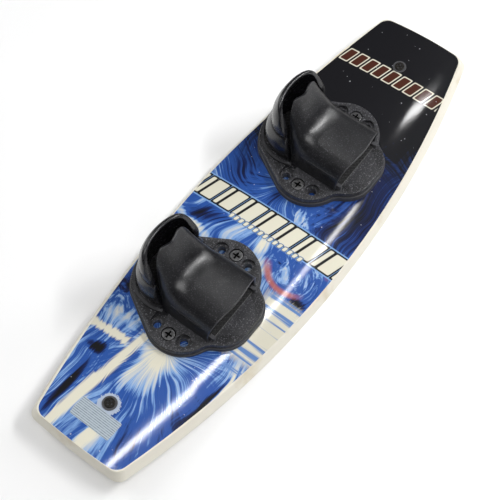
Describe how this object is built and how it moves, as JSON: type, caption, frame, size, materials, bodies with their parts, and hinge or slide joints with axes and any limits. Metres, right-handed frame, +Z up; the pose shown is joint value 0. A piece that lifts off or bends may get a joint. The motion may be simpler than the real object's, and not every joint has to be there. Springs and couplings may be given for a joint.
{
  "type": "wakeboard",
  "caption": "Twin-tip wakeboard with crowned glossy deck, moulded edge rail, low fins and a pair of slip-in rubber boots screwed on over stance-hole plates.",
  "frame": {"origin": "on the flat of the base, half way along the board and on its centreline", "axes": "+X along the board to the tip, +Y to the heel side, +Z up out of the deck"},
  "size_m": [1.4572, 0.46, 0.246],
  "materials": {
    "core_foam": "sawn foam",
    "laminate": "gloss",
    "deck_graphic": "printed sheet under clear gloss",
    "rail": "satin",
    "brass": "machined",
    "label": "vinyl sticker",
    "fin": "moulded",
    "black_steel": "black zinc",
    "washer_plastic": "moulded",
    "gasket": "matte",
    "plate": "grained moulding",
    "footbed": "EVA foam",
    "boot_rubber": "satin, fine grain",
    "cup_rubber": "gloss moulding",
    "frame_plastic": "moulded",
    "screw_steel": "dark zinc"
  },
  "bodies": {
    "board": {"foam_core": "core_foam", "base_laminate": "laminate", "deck_sheet": "deck_graphic", "edge_rail": "rail", "binding_inserts": "brass", "fin_sleeves": "brass", "tail_label": "label", "tip_fin": "fin", "tail_fin": "fin", "fin_nuts": "brass", "fin_screws": "black_steel", "fin_cup_washers": "washer_plastic", "front_gasket": "gasket", "front_plate": "plate", "front_footbed": "footbed", "front_instep": "boot_rubber", "front_heel_rand": "cup_rubber", "front_heel_frame": "frame_plastic", "front_clamp_rails": "frame_plastic", "rear_gasket": "gasket", "rear_plate": "plate", "rear_footbed": "footbed", "rear_instep": "boot_rubber", "rear_heel_rand": "cup_rubber", "rear_heel_frame": "frame_plastic", "rear_clamp_rails": "frame_plastic", "clamp_screws": "black_steel", "binding_screws": "screw_steel", "binding_washers": "screw_steel"},
    "front_cup": {"front_heel_cup": "cup_rubber"},
    "rear_cup": {"rear_heel_cup": "cup_rubber"}
  },
  "joints": [
    {"name": "front_cup_bend", "type": "hinge", "parent": "board", "child": "front_cup", "pos_m": [0.257, 0.1534, 0.1445], "axis": [-1, 0, 0], "range_deg": [0, 12], "stiffness_Nm_per_rad": 8},
    {"name": "rear_cup_bend", "type": "hinge", "parent": "board", "child": "rear_cup", "pos_m": [-0.257, 0.1534, 0.1445], "axis": [-1, 0, 0], "range_deg": [0, 12], "stiffness_Nm_per_rad": 8}
  ]
}
